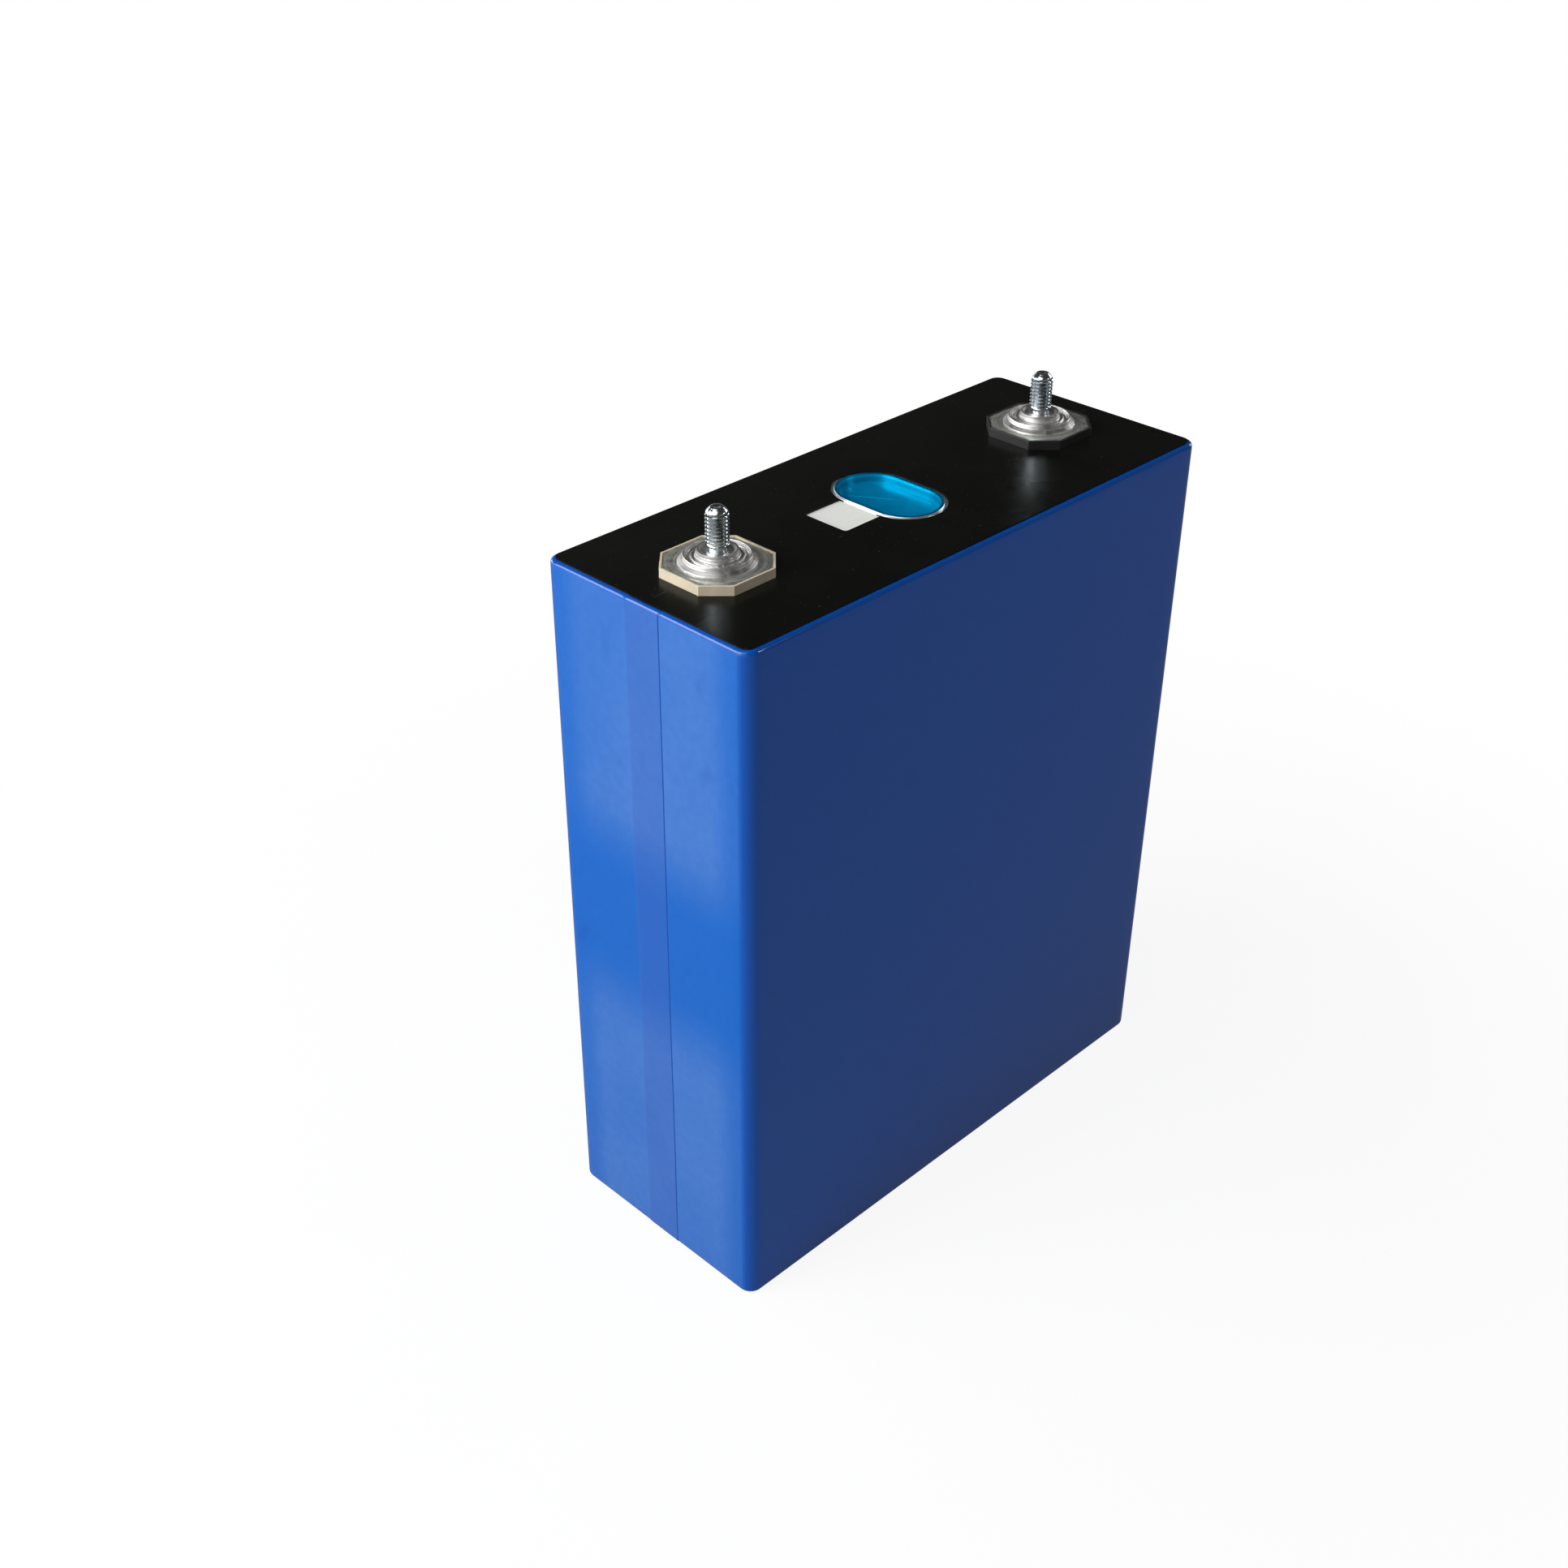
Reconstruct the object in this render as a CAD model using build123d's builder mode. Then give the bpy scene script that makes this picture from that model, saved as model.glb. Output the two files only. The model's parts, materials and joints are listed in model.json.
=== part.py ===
from build123d import *
import os

# Prismatic lithium battery cell with two welded M6 studs, in millimetres.
# Origin: centre of the base. +X runs along the width to the positive terminal,
# +Y along the thickness, +Z up.

# --- whole cell -------------------------------------------------------------
width = 174.0  # over the wrapping film
thickness = 71.7  # over the wrapping film
body_height = 204.8  # base to the top of the top sheet
corner_radius = 4.0  # upright corners, over the film
rim_radius = 1.0  # rounding of the case along its top and bottom edges

# --- case -------------------------------------------------------------------
wall_thickness = 0.8
bottom_thickness = 1.5
cover_thickness = 3.0
cover_step = 1.0  # the cover's locating step that drops into the case

# --- film and sheets --------------------------------------------------------
film_thickness = 0.12
top_fold = 4.0  # how far the film folds in over the cover
bottom_fold = 10.0
lap_width = 11.8  # the film's overlap down one narrow side
base_sheet_thickness = 0.2
base_sheet_inset = 3.0
top_sheet_thickness = 0.3
top_sheet_inset = 1.3

# --- vent -------------------------------------------------------------------
vent_size = (18.6, 30.0)  # opening through the cover, along X and Y
collar_width = 1.0  # raised collar round the opening, which carries the film
collar_height = 0.5
collar_bevel = 0.15
vent_rim = 0.8  # bare metal between the collar and the top sheet
vent_film_inset = 0.05  # from the collar's outer edge
vent_film_thickness = 0.1
membrane_thickness = 0.4
membrane_depth = 1.6  # below the cover's top face
membrane_ledge = 0.8
score_width = 0.3
score_depth = 0.15
score_inset = 1.3
label_window = (13.1, 14.4)  # bare window beside the vent, along X and Y
label_window_radius = 1.0

# --- filling port -----------------------------------------------------------
port_position = 32.0
port_radius = 2.0
port_clear_radius = 3.0  # hole below it, through the lower insulator
port_cap_radius = 4.9
port_cap_thickness = 0.8

# --- terminals --------------------------------------------------------------
terminal_inset = 25.25  # from the cell's narrow side to the terminal's axis
insulator_size = 26.0  # across the flats
insulator_cut = 6.1  # leg of its cut corners
insulator_height = 2.5  # above the top sheet
insulator_wall = 0.6
insulator_floor = 0.8
key_radius = 1.0  # two pegs that stop the insulator turning
key_depth = 0.8
key_circle = 9.5  # radius on which the pegs stand
plate_drop = 0.2  # terminal plate below the insulator's wall
pole_radius = 5.0
pole_flange_radius = 9.0
pole_flange_thickness = 1.5
seal_wall = 1.0
seal_flange_radius = 8.0
seal_flange_thickness = 0.8

# --- stud and its welded base -----------------------------------------------
stud_radius = 3.0  # M6
stud_length = 11.0  # above the hub
stud_neck_cut = 0.45  # neck inside the thread's outer radius
stud_neck_length = 1.0
stud_tip_cut = 0.8
stud_tip_length = 1.6
stud_foot_lip = 0.5  # foot beyond the thread's outer radius
stud_foot_height = 0.8
dimple_radius = 0.8
dimple_depth = 0.4
base_radius = 9.9
base_edge_height = 0.35
crest_radius = 8.5
crest_height = 2.2
valley_radius = 7.7
valley_height = 1.1
weld_radius = 6.5
weld_height = 1.7
weld_round = 0.4
hub_radius = 5.4
hub_height = 3.4
hub_foot = 0.3  # width of the groove round the hub's foot

# --- inside -----------------------------------------------------------------
lower_plate_thickness = 0.8
lower_rib_width = 2.0
lower_edge_gap = 1.0
lower_middle_gap = 1.0
grille_slot_width = 2.4
grille_pitch = 4.2
grille_start = 2.9  # first slot's distance from the middle
grille_taper = 8.4  # each slot is shorter than the one before it
grille_slots = 2
collector_thickness = 1.5
collector_margin = 3.0
collector_corner = 2.0
tab_length = 40.0  # along X
tab_thickness = 0.8
tab_fold = 12.0  # lies under the collector
tab_rise = 4.4
tab_bend = 1.5  # inner radius
tab_margin = 2.0
weld_cover_thickness = 0.3
tray_thickness = 1.0
tray_gap = 0.5
tray_slot = (14.0, 4.0)
tray_slots = (6, 2)
tray_pitch = (26.0, 30.0)
bag_thickness = 0.15
bag_gap = 0.2
winding_gap = 0.2
separator_thickness = 0.3
core_slit = 0.8
tape_size = (18.0, 34.0)
tape_thickness = 0.1
tape_count = 3
tape_pitch = 40.0

fit_gap = 0.02  # between round fits
seat_gap = 0.1  # round pieces dropped into a recess

# --- levels that follow -----------------------------------------------------
film_top = body_height - top_sheet_thickness
cover_top = film_top - film_thickness
cover_underside = cover_top - cover_thickness
step_underside = cover_underside - cover_step
case_bottom = base_sheet_thickness + film_thickness
cavity_bottom = case_bottom + bottom_thickness
insulator_top = body_height + insulator_height
plate_top = insulator_top - plate_drop
plate_bottom = cover_top + insulator_floor
hub_top = plate_top + hub_height
stud_top = hub_top + stud_length
pole_flange_top = step_underside - seal_flange_thickness
collector_top = pole_flange_top - pole_flange_thickness
collector_underside = collector_top - collector_thickness
winding_top = collector_underside - tab_rise
tray_top = cavity_bottom + tray_thickness
winding_bottom = tray_top + bag_thickness

# --- sizes that follow ------------------------------------------------------
case_inset = film_thickness
cavity_inset = film_thickness + wall_thickness
bag_inset = cavity_inset + bag_gap
winding_inset = bag_inset + bag_thickness + winding_gap
terminal_x = width / 2 - terminal_inset
seal_radius = pole_radius + seal_wall
stud_neck_radius = stud_radius - stud_neck_cut
stud_foot_radius = stud_radius + stud_foot_lip
collar_size = tuple(side + 2 * collar_width for side in vent_size)
sheet_opening = tuple(side + 2 * vent_rim for side in collar_size)
membrane_size = tuple(side + 2 * membrane_ledge for side in vent_size)
winding_width = width - 2 * winding_inset
winding_thickness = (thickness - 2 * winding_inset - winding_gap) / 2
winding_y = (winding_thickness + winding_gap) / 2
flat_half = (winding_width - winding_thickness) / 2
tab_x = flat_half - tab_margin - tab_length / 2
sides = {"negative": -1, "positive": 1}
windings = {"front": -1, "rear": 1}


def save(piece, name):
    """Label a finished piece and write it as one STEP file."""
    piece.part.label = name
    export_step(piece.part, f"parts/{name}.step")


def rounded_block(inset, bottom, top, base_round=0, top_round=0):
    """Upright block with the cell's outline, moved in by an inset."""
    with BuildPart() as block:
        with BuildSketch(Plane.XY.offset(bottom)):
            RectangleRounded(width - 2 * inset, thickness - 2 * inset, corner_radius - inset)
        extrude(amount=top - bottom)
        if top_round:
            fillet(block.edges().group_by(Axis.Z)[-1], top_round)
        if base_round:
            fillet(block.edges().group_by(Axis.Z)[0], base_round)
    return block.part


def obround(size, inset=0.0):
    """Round-ended opening whose long axis runs along Y."""
    with BuildSketch() as outline:
        SlotOverall(size[1] - 2 * inset, size[0] - 2 * inset, rotation=90)
    return outline.sketch


def octagon(inset=0.0):
    """Square with cut corners, moved in by an inset."""
    with BuildSketch() as outline:
        Rectangle(insulator_size, insulator_size)
        chamfer(outline.vertices(), insulator_cut)
        if inset:
            offset(amount=-inset, kind=Kind.INTERSECTION)
    return outline.sketch


def upright(x):
    """Plane through a terminal's axis, for the profiles turned about it."""
    return Plane(origin=(x, 0, 0), x_dir=(1, 0, 0), z_dir=(0, -1, 0))


def turn_axis(x):
    """Upright axis of the terminal at x."""
    return Axis((x, 0, 0), (0, 0, 1))


# --- case, cover and film ---------------------------------------------------
def make_case():
    outside = rounded_block(case_inset, case_bottom, cover_underside, base_round=rim_radius)
    cavity = rounded_block(cavity_inset, cavity_bottom, cover_underside)
    with BuildPart() as case:
        add(outside)
        add(cavity, mode=Mode.SUBTRACT)
    save(case, "case")


def make_cover_plate():
    flange = rounded_block(case_inset, cover_underside, cover_top, top_round=rim_radius)
    step = rounded_block(cavity_inset + fit_gap, step_underside, cover_underside)
    with BuildPart() as collar:
        with BuildSketch(Plane.XY.offset(cover_top)):
            add(obround(collar_size))
        extrude(amount=collar_height)
        chamfer(collar.edges().group_by(Axis.Z)[-1], collar_bevel)
    with BuildPart() as cover:
        add(flange)
        add(step)
        add(collar.part)
        with BuildSketch(Plane.XY.offset(cover_top + collar_height)):
            add(obround(vent_size))
        extrude(amount=step_underside - cover_top - collar_height, mode=Mode.SUBTRACT)
        with BuildSketch(Plane.XY.offset(cover_top)):
            with Locations((-terminal_x, 0), (terminal_x, 0)):
                Circle(seal_radius + fit_gap)
            with Locations((port_position, 0)):
                Circle(port_radius + fit_gap)
        extrude(amount=step_underside - cover_top, mode=Mode.SUBTRACT)
        with BuildSketch(Plane.XY.offset(cover_top - membrane_depth)):
            add(obround(membrane_size, -fit_gap))
        extrude(amount=step_underside - cover_top + membrane_depth, mode=Mode.SUBTRACT)
        with BuildSketch(Plane.XY.offset(cover_top)):
            with Locations((port_position, 0)):
                Circle(port_cap_radius + fit_gap)
        extrude(amount=-port_cap_thickness, mode=Mode.SUBTRACT)
        with BuildSketch(Plane.XY.offset(cover_top)):
            for x in (-terminal_x, terminal_x):
                with Locations((x, -key_circle), (x, key_circle)):
                    Circle(key_radius + fit_gap)
        extrude(amount=-key_depth - seat_gap, mode=Mode.SUBTRACT)
    save(cover, "cover_plate")


def make_wrap_film():
    outer_round = rim_radius + film_thickness
    outside = rounded_block(0, base_sheet_thickness, film_top, outer_round, outer_round)
    inside = rounded_block(case_inset, case_bottom, cover_top, rim_radius, rim_radius)
    lap = rounded_block(
        -film_thickness,
        base_sheet_thickness - film_thickness,
        film_top + film_thickness,
        outer_round + film_thickness,
        outer_round + film_thickness,
    )
    lap_middle = (top_sheet_inset - width) / 2 - film_thickness
    with BuildPart() as lap_band:
        add(lap)
        with BuildSketch(Plane.XY):
            with Locations((lap_middle, 0)):
                Rectangle(top_sheet_inset, lap_width)
        extrude(amount=film_top + film_thickness, mode=Mode.INTERSECT)
    with BuildPart() as film:
        add(outside)
        add(lap_band)
        add(inside, mode=Mode.SUBTRACT)
        with BuildSketch(Plane.XY):
            Rectangle(width - 2 * bottom_fold, thickness - 2 * bottom_fold)
        extrude(amount=case_bottom, mode=Mode.SUBTRACT)
        with BuildSketch(Plane.XY.offset(cover_top)):
            Rectangle(width - 2 * top_fold, thickness - 2 * top_fold)
        extrude(amount=film_thickness, mode=Mode.SUBTRACT)
    save(film, "wrap_film")


def make_base_sheet():
    # Flat sheet under the folded film, with a raised middle that meets the case.
    with BuildPart() as sheet:
        with BuildSketch():
            RectangleRounded(
                width - 2 * base_sheet_inset, thickness - 2 * base_sheet_inset, corner_radius
            )
        extrude(amount=base_sheet_thickness)
        with BuildSketch(Plane.XY.offset(base_sheet_thickness)):
            Rectangle(
                width - 2 * bottom_fold - 2 * fit_gap, thickness - 2 * bottom_fold - 2 * fit_gap
            )
        extrude(amount=film_thickness)
    save(sheet, "base_sheet")


def make_top_sheet():
    # The middle of the sheet is deeper, down to the cover inside the folded film.
    with BuildPart() as sheet:
        with BuildSketch(Plane.XY.offset(film_top)):
            RectangleRounded(
                width - 2 * top_sheet_inset,
                thickness - 2 * top_sheet_inset,
                corner_radius - top_sheet_inset,
            )
        extrude(amount=top_sheet_thickness)
        with BuildSketch(Plane.XY.offset(cover_top)):
            Rectangle(
                width - 2 * top_fold - 2 * fit_gap, thickness - 2 * top_fold - 2 * fit_gap
            )
        extrude(amount=film_thickness)
        with BuildSketch(Plane.XY.offset(cover_top)):
            add(obround(sheet_opening))
            window_x = -(sheet_opening[0] + label_window[0]) / 2
            with Locations((window_x, 0)):
                Rectangle(*label_window)
            with Locations((-terminal_x, 0), (terminal_x, 0)):
                add(octagon(-seat_gap))
        extrude(amount=film_thickness + top_sheet_thickness, mode=Mode.SUBTRACT)
        window_end = -(sheet_opening[0] / 2 + label_window[0])
        corners = sheet.edges().filter_by(Axis.Z).filter_by_position(
            Axis.X, window_end - fit_gap, window_end + fit_gap
        )
        fillet(corners, label_window_radius)
    save(sheet, "top_sheet")


# --- vent and filling port --------------------------------------------------
def make_vent():
    membrane_top = cover_top - membrane_depth
    with BuildPart() as membrane:
        with BuildSketch(Plane.XY.offset(membrane_top)):
            add(obround(membrane_size))
        extrude(amount=-membrane_thickness)
        with BuildSketch(Plane.XY.offset(membrane_top)):
            add(obround(vent_size, score_inset))
            add(obround(vent_size, score_inset + score_width), mode=Mode.SUBTRACT)
        extrude(amount=-score_depth, mode=Mode.SUBTRACT)
    save(membrane, "vent_membrane")
    with BuildPart() as film:
        with BuildSketch(Plane.XY.offset(cover_top + collar_height)):
            add(obround(collar_size, collar_bevel + vent_film_inset))
        extrude(amount=vent_film_thickness)
    save(film, "vent_film")


def make_filling_port():
    cap_bottom = cover_top - port_cap_thickness
    with BuildPart() as plug:
        with BuildSketch(Plane.XY.offset(step_underside)):
            with Locations((port_position, 0)):
                Circle(port_radius)
        extrude(amount=cap_bottom - step_underside)
    save(plug, "filling_port_plug")
    with BuildPart() as cap:
        with BuildSketch(Plane.XY.offset(cap_bottom)):
            with Locations((port_position, 0)):
                Circle(port_cap_radius)
        extrude(amount=port_cap_thickness)
    save(cap, "filling_port_cap")


# --- terminals --------------------------------------------------------------
def make_insulator(x, name):
    with BuildPart() as insulator:
        with BuildSketch(Plane.XY.offset(cover_top)):
            with Locations((x, 0)):
                add(octagon())
        extrude(amount=insulator_top - cover_top)
        with BuildSketch(Plane.XY.offset(plate_bottom)):
            with Locations((x, 0)):
                add(octagon(insulator_wall))
        extrude(amount=insulator_top - plate_bottom, mode=Mode.SUBTRACT)
        with BuildSketch(Plane.XY.offset(cover_top)):
            with Locations((x, 0)):
                Circle(seal_radius + fit_gap)
        extrude(amount=insulator_floor, mode=Mode.SUBTRACT)
        with BuildSketch(Plane.XY.offset(cover_top)):
            with Locations((x, -key_circle), (x, key_circle)):
                Circle(key_radius)
        extrude(amount=-key_depth)
    save(insulator, f"{name}_terminal_insulator")


def make_terminal_plate(x, name):
    with BuildPart() as plate:
        with BuildSketch(Plane.XY.offset(plate_bottom)):
            with Locations((x, 0)):
                add(octagon(insulator_wall + fit_gap))
                Circle(pole_radius + fit_gap, mode=Mode.SUBTRACT)
        extrude(amount=plate_top - plate_bottom)
    save(plate, f"{name}_terminal_plate")


def make_stud_base(x, name):
    # Turned dish: sloping skirt, raised crest, valley, weld bead and hub.
    groove_radius = hub_radius + hub_foot
    outline = [
        (base_radius, plate_top),
        (base_radius, plate_top + base_edge_height),
        (crest_radius, plate_top + crest_height),
        (valley_radius, plate_top + valley_height),
        (weld_radius, plate_top + weld_height),
        (groove_radius, plate_top + valley_height),
        (hub_radius, plate_top + valley_height),
        (hub_radius, hub_top),
        (stud_neck_radius + fit_gap, hub_top),
        (stud_neck_radius + fit_gap, plate_top + stud_foot_height),
        (stud_foot_radius + fit_gap, plate_top + stud_foot_height),
        (stud_foot_radius + fit_gap, plate_top),
    ]
    rounds = [0, 0, weld_round, weld_round, weld_round, 0, 0, weld_round / 2, 0, 0, 0, 0]
    with BuildPart() as base:
        with BuildSketch(upright(x)):
            with BuildLine():
                FilletPolyline(*outline, radius=rounds, close=True)
            make_face()
        revolve(axis=turn_axis(x))
    save(base, f"{name}_stud_base")


def make_stud(x, name):
    neck_top = hub_top + stud_neck_length
    tip_bottom = stud_top - stud_tip_length
    outline = [
        (0, plate_top),
        (stud_foot_radius, plate_top),
        (stud_foot_radius, plate_top + stud_foot_height),
        (stud_neck_radius, plate_top + stud_foot_height),
        (stud_neck_radius, neck_top),
        (stud_radius, neck_top),
        (stud_radius, tip_bottom),
        (stud_radius - stud_tip_cut, stud_top),
        (dimple_radius, stud_top),
        (0, stud_top - dimple_depth),
    ]
    with BuildPart() as stud:
        with BuildSketch(upright(x)):
            with BuildLine():
                Polyline(*outline, close=True)
            make_face()
        revolve(axis=turn_axis(x))
    save(stud, f"{name}_stud")


def make_pole(x, name):
    with BuildPart() as pole:
        with BuildSketch(Plane.XY.offset(collector_top)):
            with Locations((x, 0)):
                Circle(pole_flange_radius)
        extrude(amount=pole_flange_thickness)
        with BuildSketch(Plane.XY.offset(pole_flange_top)):
            with Locations((x, 0)):
                Circle(pole_radius)
        extrude(amount=plate_top - pole_flange_top)
    save(pole, f"{name}_pole")


def make_seal_ring(x, name):
    # Sleeve up to the terminal plate, with a flange under the cover.
    with BuildPart() as seal:
        with BuildSketch(Plane.XY.offset(pole_flange_top)):
            with Locations((x, 0)):
                Circle(seal_flange_radius)
        extrude(amount=seal_flange_thickness)
        with BuildSketch(Plane.XY.offset(pole_flange_top)):
            with Locations((x, 0)):
                Circle(seal_radius)
        extrude(amount=plate_bottom - pole_flange_top)
        with BuildSketch(Plane.XY.offset(pole_flange_top)):
            with Locations((x, 0)):
                Circle(pole_radius + fit_gap)
        extrude(amount=plate_bottom - pole_flange_top, mode=Mode.SUBTRACT)
    save(seal, f"{name}_seal_ring")


def make_lower_insulator(x, name):
    # Ribbed half plate under the cover, with one half of the vent's grille.
    side = x / abs(x)
    half_length = width / 2 - cavity_inset - lower_edge_gap - lower_middle_gap / 2
    middle = side * (lower_middle_gap + half_length) / 2
    depth = thickness - 2 * (cavity_inset + lower_edge_gap)
    rib_depth = step_underside - lower_plate_thickness - collector_top
    hole = pole_flange_radius + seat_gap
    with BuildPart() as insulator:
        with BuildSketch(Plane.XY.offset(step_underside)):
            with Locations((middle, 0)):
                Rectangle(half_length, depth)
            with Locations((x, 0)):
                Circle(seal_flange_radius + seat_gap, mode=Mode.SUBTRACT)
            for slot in range(grille_slots):
                with Locations((side * (grille_start + slot * grille_pitch), 0)):
                    SlotOverall(
                        vent_size[1] - slot * grille_taper,
                        grille_slot_width,
                        rotation=90,
                        mode=Mode.SUBTRACT,
                    )
            if abs(port_position - middle) < half_length / 2:
                with Locations((port_position, 0)):
                    Circle(port_clear_radius, mode=Mode.SUBTRACT)
        extrude(amount=-lower_plate_thickness)
        with BuildSketch(Plane.XY.offset(step_underside - lower_plate_thickness)):
            with Locations((middle, 0)):
                Rectangle(half_length, depth)
                Rectangle(
                    half_length - 2 * lower_rib_width,
                    depth - 2 * lower_rib_width,
                    mode=Mode.SUBTRACT,
                )
            with Locations((x, 0)):
                Circle(hole + lower_rib_width)
                Circle(hole, mode=Mode.SUBTRACT)
        extrude(amount=-rib_depth)
    save(insulator, f"{name}_lower_insulator")


def make_collector(x, name):
    side = x / abs(x)
    inner = tab_x - tab_length / 2 - collector_margin
    outer = max(tab_x + tab_length / 2, terminal_x + pole_flange_radius) + collector_margin
    with BuildPart() as collector:
        with BuildSketch(Plane.XY.offset(collector_underside)):
            with Locations((side * (inner + outer) / 2, 0)):
                RectangleRounded(
                    outer - inner, 2 * (winding_y + collector_margin), collector_corner
                )
        extrude(amount=collector_thickness)
    save(collector, f"{name}_collector")


def make_tabs(x, name):
    # One foil stack from each winding, folded inwards under the collector.
    side = x / abs(x)
    root = winding_y + tab_thickness / 2
    with BuildPart() as tabs:
        for turn in windings.values():
            with BuildSketch(Plane.YZ.offset(side * tab_x)):
                with BuildLine():
                    outer = FilletPolyline(
                        (turn * root, winding_top),
                        (turn * root, collector_underside),
                        (turn * (root - tab_fold), collector_underside),
                        radius=tab_bend + tab_thickness,
                    )
                    inner = FilletPolyline(
                        (turn * (root - tab_thickness), winding_top),
                        (turn * (root - tab_thickness), collector_underside - tab_thickness),
                        (turn * (root - tab_fold), collector_underside - tab_thickness),
                        radius=tab_bend,
                    )
                    Line(outer @ 0, inner @ 0)
                    Line(outer @ 1, inner @ 1)
                make_face()
        extrude(amount=tab_length / 2, both=True)
    save(tabs, f"{name}_tabs")


def make_weld_covers(x, name):
    side = x / abs(x)
    level = collector_underside - tab_thickness
    flat = tab_fold - tab_thickness - tab_bend
    middle = winding_y + tab_thickness / 2 - tab_fold + flat / 2
    with BuildPart() as covers:
        with BuildSketch(Plane.XY.offset(level)):
            with Locations((side * tab_x, -middle), (side * tab_x, middle)):
                Rectangle(tab_length, flat)
        extrude(amount=-weld_cover_thickness)
    save(covers, f"{name}_weld_covers")


# --- windings and their insulation ------------------------------------------
def make_winding(y, name):
    height = winding_top - winding_bottom
    outer = (winding_width, winding_thickness)
    core = tuple(side - 2 * separator_thickness for side in outer)
    slit = winding_width - winding_thickness
    with BuildPart() as winding:
        with BuildSketch(Plane.XY.offset(winding_bottom)):
            with Locations((0, y)):
                SlotOverall(*core)
                SlotOverall(slit, core_slit, mode=Mode.SUBTRACT)
        extrude(amount=height)
    save(winding, f"winding_{name}")
    with BuildPart() as separator:
        with BuildSketch(Plane.XY.offset(winding_bottom)):
            with Locations((0, y)):
                SlotOverall(*outer)
                SlotOverall(*core, mode=Mode.SUBTRACT)
        extrude(amount=height)
    save(separator, f"separator_{name}")


def make_closing_tapes():
    # Strips on the outer flat of each winding.
    face_y = winding_y + winding_thickness / 2
    level = (winding_bottom + winding_top) / 2
    with BuildPart() as tapes:
        for turn in windings.values():
            with BuildSketch(Plane.XZ.offset(-turn * face_y)):
                with Locations((0, level)):
                    with GridLocations(tape_pitch, 1, tape_count, 1):
                        Rectangle(*tape_size)
            extrude(amount=-turn * tape_thickness)
    save(tapes, "closing_tapes")


def make_bag():
    outside = rounded_block(bag_inset, tray_top, winding_top)
    inside = rounded_block(bag_inset + bag_thickness, winding_bottom, winding_top)
    with BuildPart() as bag:
        add(outside)
        add(inside, mode=Mode.SUBTRACT)
    save(bag, "insulating_bag")


def make_bottom_tray():
    outline = rounded_block(cavity_inset + tray_gap, cavity_bottom, tray_top)
    with BuildPart() as tray:
        add(outline)
        with BuildSketch(Plane.XY.offset(cavity_bottom)):
            with GridLocations(*tray_pitch, *tray_slots):
                SlotOverall(*tray_slot)
        extrude(amount=tray_thickness, mode=Mode.SUBTRACT)
    save(tray, "bottom_tray")


os.makedirs("parts", exist_ok=True)
make_case()
make_cover_plate()
make_wrap_film()
make_base_sheet()
make_top_sheet()
make_vent()
make_filling_port()
for side_name, side_sign in sides.items():
    axis_x = side_sign * terminal_x
    make_insulator(axis_x, side_name)
    make_terminal_plate(axis_x, side_name)
    make_stud_base(axis_x, side_name)
    make_stud(axis_x, side_name)
    make_pole(axis_x, side_name)
    make_seal_ring(axis_x, side_name)
    make_lower_insulator(axis_x, side_name)
    make_collector(axis_x, side_name)
    make_tabs(axis_x, side_name)
    make_weld_covers(axis_x, side_name)
for winding_name, winding_sign in windings.items():
    make_winding(winding_sign * winding_y, winding_name)
make_closing_tapes()
make_bag()
make_bottom_tray()
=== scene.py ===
import json
import math

import bmesh
import bpy
from mathutils import Matrix, Vector, noise


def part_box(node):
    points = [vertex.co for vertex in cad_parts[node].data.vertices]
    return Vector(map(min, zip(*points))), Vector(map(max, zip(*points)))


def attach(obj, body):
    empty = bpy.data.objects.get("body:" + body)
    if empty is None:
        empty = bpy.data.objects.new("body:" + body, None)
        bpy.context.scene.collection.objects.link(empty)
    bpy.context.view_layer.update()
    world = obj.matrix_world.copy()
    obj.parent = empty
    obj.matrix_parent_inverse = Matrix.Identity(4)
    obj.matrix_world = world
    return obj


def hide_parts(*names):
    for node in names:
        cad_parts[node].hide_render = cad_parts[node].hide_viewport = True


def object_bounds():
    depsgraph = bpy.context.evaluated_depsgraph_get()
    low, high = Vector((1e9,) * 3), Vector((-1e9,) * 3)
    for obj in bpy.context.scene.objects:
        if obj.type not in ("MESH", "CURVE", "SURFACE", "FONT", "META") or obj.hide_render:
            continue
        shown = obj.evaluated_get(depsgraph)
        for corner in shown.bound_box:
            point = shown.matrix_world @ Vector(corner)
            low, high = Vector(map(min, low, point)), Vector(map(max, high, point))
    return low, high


# Looks of a prismatic lithium battery cell in blue film, with two welded M6 studs.
# Metres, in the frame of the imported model: origin at the base's centre, +X towards the
# positive terminal, +Z up.

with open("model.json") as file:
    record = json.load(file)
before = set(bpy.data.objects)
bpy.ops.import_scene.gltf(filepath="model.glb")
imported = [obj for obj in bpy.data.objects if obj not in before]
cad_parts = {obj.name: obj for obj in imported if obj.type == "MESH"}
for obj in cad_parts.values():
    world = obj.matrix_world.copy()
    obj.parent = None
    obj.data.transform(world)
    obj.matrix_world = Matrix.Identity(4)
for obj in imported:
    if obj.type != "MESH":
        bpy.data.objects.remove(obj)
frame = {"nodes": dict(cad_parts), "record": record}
cad_low, cad_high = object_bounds()
MM = 0.001
SHEET_THICKNESS = 0.3 * MM

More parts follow.
